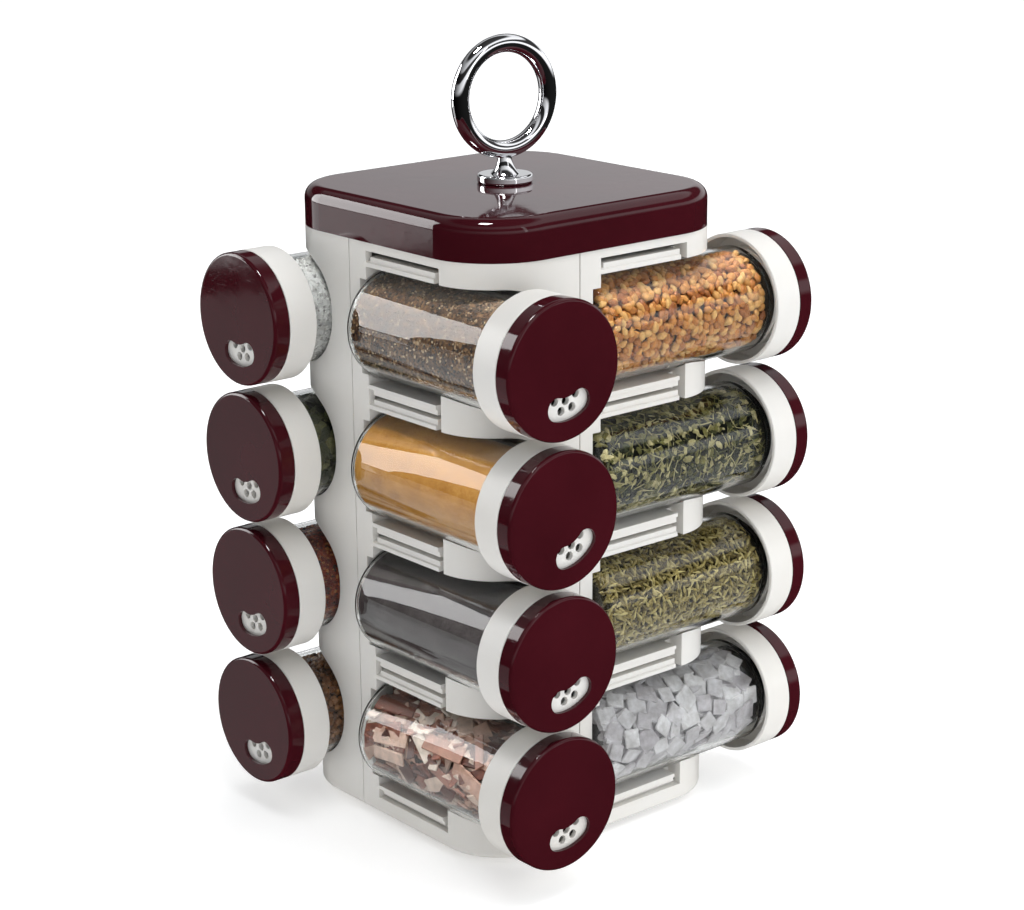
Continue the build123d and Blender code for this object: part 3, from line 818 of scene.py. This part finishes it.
def build_chunks(face, row):
    """Large flat pieces over a core painted dark as the shade in the gaps between them."""
    spice, size, count, wander, colours = CHUNKS[face, row]
    draw = draw_for(face, row)
    length, width, thickness = (edge * MM for edge in size)
    chunk_look = grain_finish(spice, linear_colours(colours), 260, 0.0003, roughness=0.6)
    # Painted shade: the core behind the chips is painted dark.
    core_look = powder_finish(spice + "_core", painted_shade_colours(colours, CORE_SHADE), 300, 0.0006)
    bed_radius = FILL_RADIUS - CHIP_BED * thickness
    parts = [model_fill(core_look, bed_radius, CORE_SIDES, CORE_RINGS // 2, 0.8 * MM)]
    for layer in range(CHIP_LAYERS):
        chip = model_chip(length, width, thickness, seed=layer + 1)
        top = CHIP_LAYER_STEP * thickness * layer
        depth = (top, top + CHIP_SPREAD * thickness)
        parts.append(scatter(chip, chunk_look, count, draw, depth, tilt=0.1, smooth=False,
                             sizes=(0.65, 1.1), wander=wander))
    finish_filling(parts, colours, spice, face, row)


# --- operators ---------------------------------------------------------------


class CAROUSEL_OT_dress_white(bpy.types.Operator):
    """Give the tower mouldings and the sifter caps their satin white finish"""

    bl_idname = "carousel.dress_white"
    bl_label = "White Mouldings"

    def execute(self, context):
        dress(nodes_with_slot("white_plastic"), white_plastic())
        return {"FINISHED"}


class CAROUSEL_OT_dress_maroon(bpy.types.Operator):
    """Give the top cover and the dial caps their polished maroon finish"""

    bl_idname = "carousel.dress_maroon"
    bl_label = "Maroon Mouldings"

    def execute(self, context):
        dress(nodes_with_slot("maroon_plastic"), maroon_plastic())
        return {"FINISHED"}


class CAROUSEL_OT_dress_jars(bpy.types.Operator):
    """Give the jars their clear finish"""

    bl_idname = "carousel.dress_jars"
    bl_label = "Clear Jars"

    def execute(self, context):
        dress(nodes_with_slot("clear_jar"), clear_jar())
        return {"FINISHED"}


class CAROUSEL_OT_dress_metal(bpy.types.Operator):
    """Give the handle its chrome and the hidden hardware its steel and rubber"""

    bl_idname = "carousel.dress_metal"
    bl_label = "Handle and Hardware"

    def execute(self, context):
        dress(nodes_with_slot("chrome_plate"), chrome_plate())
        dress(nodes_with_slot("steel"), zinc_steel())
        dress(nodes_with_slot("rubber_pad"), rubber_pad())
        return {"FINISHED"}


class CAROUSEL_OT_fill_powders(bpy.types.Operator):
    """Fill jars with fine powders"""

    bl_idname = "carousel.fill_powders"
    bl_label = "Powders"

    def execute(self, context):
        for face, row in POWDERS:
            build_powder(face, row)
        return {"FINISHED"}


class CAROUSEL_OT_fill_grinds(bpy.types.Operator):
    """Fill jars with coarse ground spices and salt"""

    bl_idname = "carousel.fill_grinds"
    bl_label = "Coarse Grinds"

    def execute(self, context):
        for face, row in GRINDS:
            build_grind(face, row)
        return {"FINISHED"}


class CAROUSEL_OT_fill_seeds(bpy.types.Operator):
    """Fill jars with whole seeds and peppercorns"""

    bl_idname = "carousel.fill_seeds"
    bl_label = "Seeds"

    def execute(self, context):
        for face, row in SEEDS:
            build_seeds(face, row)
        return {"FINISHED"}


class CAROUSEL_OT_fill_leaves(bpy.types.Operator):
    """Fill jars with dried leaves and stalks"""

    bl_idname = "carousel.fill_leaves"
    bl_label = "Leaves"

    def execute(self, context):
        for face, row in LEAVES:
            build_leaves(face, row)
        return {"FINISHED"}


class CAROUSEL_OT_fill_chunks(bpy.types.Operator):
    """Fill jars with sliced and flaked pieces"""

    bl_idname = "carousel.fill_chunks"
    bl_label = "Slices and Flakes"

    def execute(self, context):
        for face, row in CHUNKS:
            build_chunks(face, row)
        return {"FINISHED"}


# --- floor, lights and camera ------------------------------------------------

# Light given off by the floor, as from a table lit from below.
FLOOR_GLOW = 0.36


def floor_finish():
    """Pale matt floor with a barely visible tooth."""
    material, tree, shader = new_material("studio_floor")
    where = object_coordinates(tree)
    cloud = noise(tree, where, 3, detail=4)
    tree.links.new(ramp(tree, cloud, [(0.3, (0.9, 0.9, 0.9)), (0.7, (0.92, 0.92, 0.92))]),
                   shader.inputs["Base Color"])
    tree.links.new(span(tree, cloud, 0.55, 0.7), shader.inputs["Roughness"])
    shader.inputs["Specular IOR Level"].default_value = 0.15
    bumped(tree, shader, noise(tree, where, 800, detail=2), 0.00003, 0.3)
    shader.inputs["Emission Color"].default_value = (1.0, 1.0, 1.0, 1.0)
    shader.inputs["Emission Strength"].default_value = FLOOR_GLOW
    return material


# Where the surroundings are brightest, their range of brightness, and the share left below the horizon.
SKY_BRIGHT_SIDE = (0.707, 0.707, 0.0)
SKY_DARK_TO_BRIGHT = (0.03, 1.49)
SKY_BELOW_HORIZON = 0.22
SKY_COLOUR = (0.97, 0.985, 1.0)
# Light and dark bands, from straight down (0) over the horizon (0.5) to straight up (1), in reflections.
SKY_REFLECTED_BANDS = (
    (0.49, (0.04, 0.04, 0.04)), (0.54, SKY_COLOUR), (0.63, SKY_COLOUR), (0.66, (0.03, 0.03, 0.03)),
    (0.77, (0.04, 0.04, 0.04)), (0.80, SKY_COLOUR), (0.88, SKY_COLOUR), (0.92, (0.05, 0.05, 0.05)),
)

# Panels seen only as reflections: name, (width, height), place, radiance.
REFLECTORS = (
    ("window_low", (0.48, 0.13), (-0.94, -0.55, 0.085), 2.2),
    ("window_high", (0.50, 0.80), (-0.96, -0.58, 0.57), 9.0),
    ("lamp_overhead", (0.30, 0.30), (0.10, -0.36, 1.75), 90.0),
    ("strip_right", (0.10, 0.90), (1.25, 0.15, 0.75), 3.0),
    ("low_wall", (0.70, 0.66), (-0.98, -0.70, -0.36), 0.55),
)
AIM_HEIGHT = 0.48
# Panel that lights the floor and the tower from above, and shows in nothing.
CEILING_SIZE = (1.8, 1.8)
CEILING_PLACE = (0.2, 0.1, 2.2)
CEILING_GLOW = 2.3


def add_panel(name, size, place, glow):
    """Glowing rectangle of the given radiance, turned to the tower."""
    clear_selection()
    bpy.ops.object.light_add(type="AREA", location=place)
    panel = bpy.context.object
    panel.name = name
    panel.data.shape = "RECTANGLE"
    panel.data.size, panel.data.size_y = size
    panel.data.energy = glow * math.pi * size[0] * size[1]
    aim = Vector((0, 0, min(place[2], AIM_HEIGHT)))
    panel.rotation_euler = (aim - Vector(place)).to_track_quat("-Z", "Y").to_euler()
    return panel


class CAROUSEL_OT_build_stage(bpy.types.Operator):
    """Add the pale floor, the soft lights, the world and the camera"""

    bl_idname = "carousel.build_stage"
    bl_label = "Studio"

    def execute(self, context):
        stage = context.scene.carousel_stage
        clear_selection()
        bpy.ops.mesh.primitive_plane_add(size=stage.floor_size, location=(0, 0, 0))
        floor = context.object
        floor.name = "studio_floor"
        floor.data.materials.append(floor_finish())
        floor.visible_glossy = False
        for name, size, place, glow in REFLECTORS:
            reflector = add_panel(name, size, place, glow)
            reflector.visible_diffuse = False
            reflector.visible_transmission = False
        ceiling = add_panel("ceiling", CEILING_SIZE, CEILING_PLACE, CEILING_GLOW)
        ceiling.visible_glossy = False
        self.build_world(context)
        self.build_camera(context, stage)
        return {"FINISHED"}

    def build_world(self, context):
        """Pale backdrop whose light is stronger on one side and dim below the horizon."""
        world = bpy.data.worlds.new("studio")
        world.use_nodes = True
        context.scene.world = world
        tree = world.node_tree
        direction = add_node(tree, "ShaderNodeSeparateXYZ")
        generated = add_node(tree, "ShaderNodeTexCoord").outputs["Generated"]
        tree.links.new(generated, direction.inputs["Vector"])
        towards = add_node(tree, "ShaderNodeVectorMath", operation="DOT_PRODUCT")
        tree.links.new(generated, towards.inputs[0])
        towards.inputs[1].default_value = SKY_BRIGHT_SIDE
        sideways = span(tree, towards.outputs["Value"], *SKY_DARK_TO_BRIGHT, -1.0, 1.0)
        above = span(tree, direction.outputs["Z"], SKY_BELOW_HORIZON, 1.0, -0.05, 0.0)
        strength = add_node(tree, "ShaderNodeMath", operation="MULTIPLY")
        tree.links.new(sideways, strength.inputs[0])
        tree.links.new(above, strength.inputs[1])
        height = span(tree, direction.outputs["Z"], 0.0, 1.0, -1.0, 1.0)
        bands = ramp(tree, height, SKY_REFLECTED_BANDS)
        ray = add_node(tree, "ShaderNodeLightPath")
        reflected = mixed(tree, ray.outputs["Is Glossy Ray"], SKY_COLOUR, bands)
        backdrop = add_node(tree, "ShaderNodeMath", operation="MAXIMUM")
        tree.links.new(strength.outputs["Value"], backdrop.inputs[0])
        tree.links.new(ray.outputs["Is Camera Ray"], backdrop.inputs[1])
        background = tree.nodes["Background"]
        tree.links.new(reflected, background.inputs["Color"])
        tree.links.new(backdrop.outputs["Value"], background.inputs["Strength"])
        context.scene.view_settings.view_transform = "Standard"

    def build_camera(self, context, stage):
        """Camera on the tower, seen over the corner between the front and the right face."""
        clear_selection()
        bpy.ops.object.camera_add()
        camera = context.object
        turn = (Matrix.Rotation(stage.camera_azimuth, 4, "Z")
                @ Matrix.Rotation(math.pi / 2 - stage.camera_dip, 4, "X")
                @ Matrix.Rotation(stage.camera_roll, 4, "Z"))
        camera.matrix_world = Matrix.Translation(stage.camera_place) @ turn
        camera.data.lens = stage.lens
        camera.data.shift_x = stage.shift_x
        camera.data.shift_y = stage.shift_y
        context.scene.camera = camera


# --- panel and registration --------------------------------------------------


class CAROUSEL_PT_panel(bpy.types.Panel):
    """Steps that dress and fill the carousel"""

    bl_idname = "CAROUSEL_PT_panel"
    bl_label = "Spice Carousel"
    bl_space_type = "VIEW_3D"
    bl_region_type = "UI"
    bl_category = "Carousel"

    def draw(self, context):
        column = self.layout.column()
        for settings in (context.scene.carousel_finishes, context.scene.carousel_stage):
            for name in settings.__annotations__:
                column.prop(settings, name)
        for operator in OPERATORS:
            column.operator(operator.bl_idname)


OPERATORS = (
    CAROUSEL_OT_dress_white,
    CAROUSEL_OT_dress_maroon,
    CAROUSEL_OT_dress_jars,
    CAROUSEL_OT_dress_metal,
    CAROUSEL_OT_fill_powders,
    CAROUSEL_OT_fill_grinds,
    CAROUSEL_OT_fill_seeds,
    CAROUSEL_OT_fill_leaves,
    CAROUSEL_OT_fill_chunks,
    CAROUSEL_OT_build_stage,
)
CLASSES = (CAROUSEL_PG_finishes, CAROUSEL_PG_stage, *OPERATORS, CAROUSEL_PT_panel)


def register():
    """Register the classes and their scene settings."""
    for item in CLASSES:
        bpy.utils.register_class(item)
    bpy.types.Scene.carousel_finishes = bpy.props.PointerProperty(type=CAROUSEL_PG_finishes)
    bpy.types.Scene.carousel_stage = bpy.props.PointerProperty(type=CAROUSEL_PG_stage)


def unregister():
    """Undo register."""
    del bpy.types.Scene.carousel_stage
    del bpy.types.Scene.carousel_finishes
    for item in reversed(CLASSES):
        bpy.utils.unregister_class(item)


def run_operator(operator):
    """Call an operator by its id."""
    group, name = operator.bl_idname.split(".")
    getattr(getattr(bpy.ops, group), name)()


def main():
    """Register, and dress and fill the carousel."""
    register()
    for operator in OPERATORS:
        run_operator(operator)


if __name__ == "__main__":
    main()
